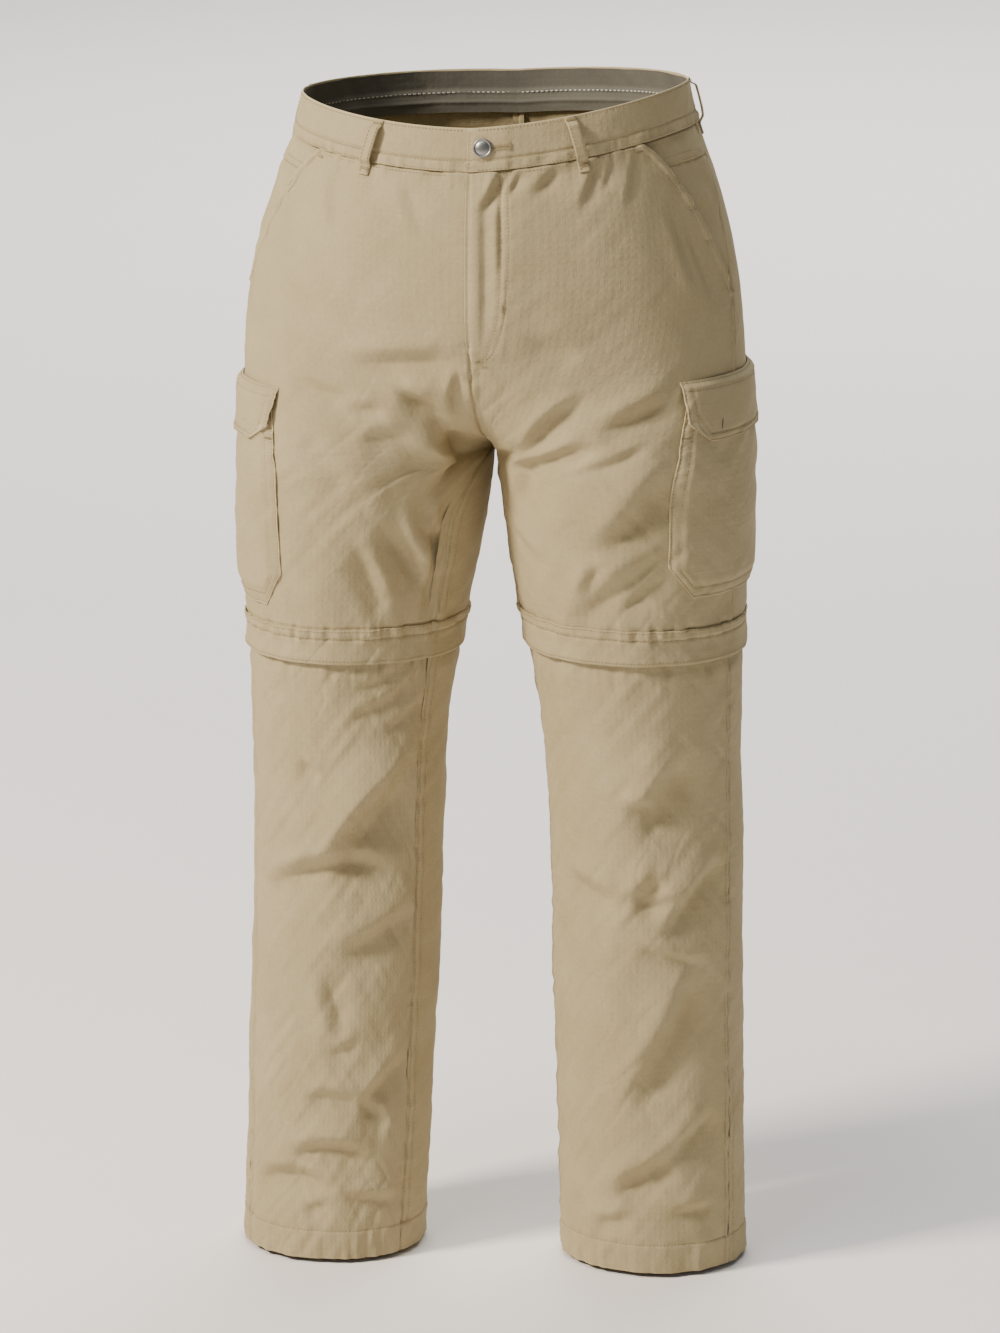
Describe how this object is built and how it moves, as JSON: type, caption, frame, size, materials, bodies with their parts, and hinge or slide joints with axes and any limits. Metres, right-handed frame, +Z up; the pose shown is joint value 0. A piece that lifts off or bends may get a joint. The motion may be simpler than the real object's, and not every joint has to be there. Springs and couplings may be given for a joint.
{
  "type": "convertible zip-off trousers",
  "caption": "Full-length cotton trousers with cargo pockets, whose lower legs zip off above the knee, filled out as worn.",
  "frame": {"origin": "middle of the waist opening at the height of the waistband's top edge over the right hip, where the wearer's waist holds the garment", "axes": "+Z up; the front faces -Y; +X is the wearer's left"},
  "size_m": [0.4823, 0.3041, 1.1091],
  "materials": {
    "cotton_canvas": "washed khaki cotton canvas, matt with a faint nap",
    "dark_lining": "dark olive-grey cotton lining",
    "zip_tape": "dark woven zip tape with moulded teeth",
    "button_metal": "aged nickel"
  },
  "bodies": {
    "root": {"waistband": "cotton_canvas", "waistband_lining": "dark_lining", "front_left": "cotton_canvas", "front_right": "cotton_canvas", "back_left": "cotton_canvas", "back_right": "cotton_canvas", "fly_facing": "cotton_canvas", "hip_facing_left": "cotton_canvas", "hip_facing_right": "cotton_canvas", "belt_loop_front_left": "cotton_canvas", "belt_loop_front_right": "cotton_canvas", "belt_loop_side_left": "cotton_canvas", "belt_loop_side_right": "cotton_canvas", "belt_loop_back": "cotton_canvas", "waist_button": "button_metal", "cargo_pocket_left": "cotton_canvas", "cargo_pocket_right": "cotton_canvas", "cargo_flap_left": "cotton_canvas", "cargo_flap_right": "cotton_canvas", "zip_flap_left": "cotton_canvas", "zip_flap_right": "cotton_canvas", "thigh_zip_left": "zip_tape", "thigh_zip_right": "zip_tape", "lower_front_left": "cotton_canvas", "lower_front_right": "cotton_canvas", "lower_back_left": "cotton_canvas", "lower_back_right": "cotton_canvas", "ankle_zip_left": "zip_tape", "ankle_zip_right": "zip_tape"}
  },
  "joints": []
}
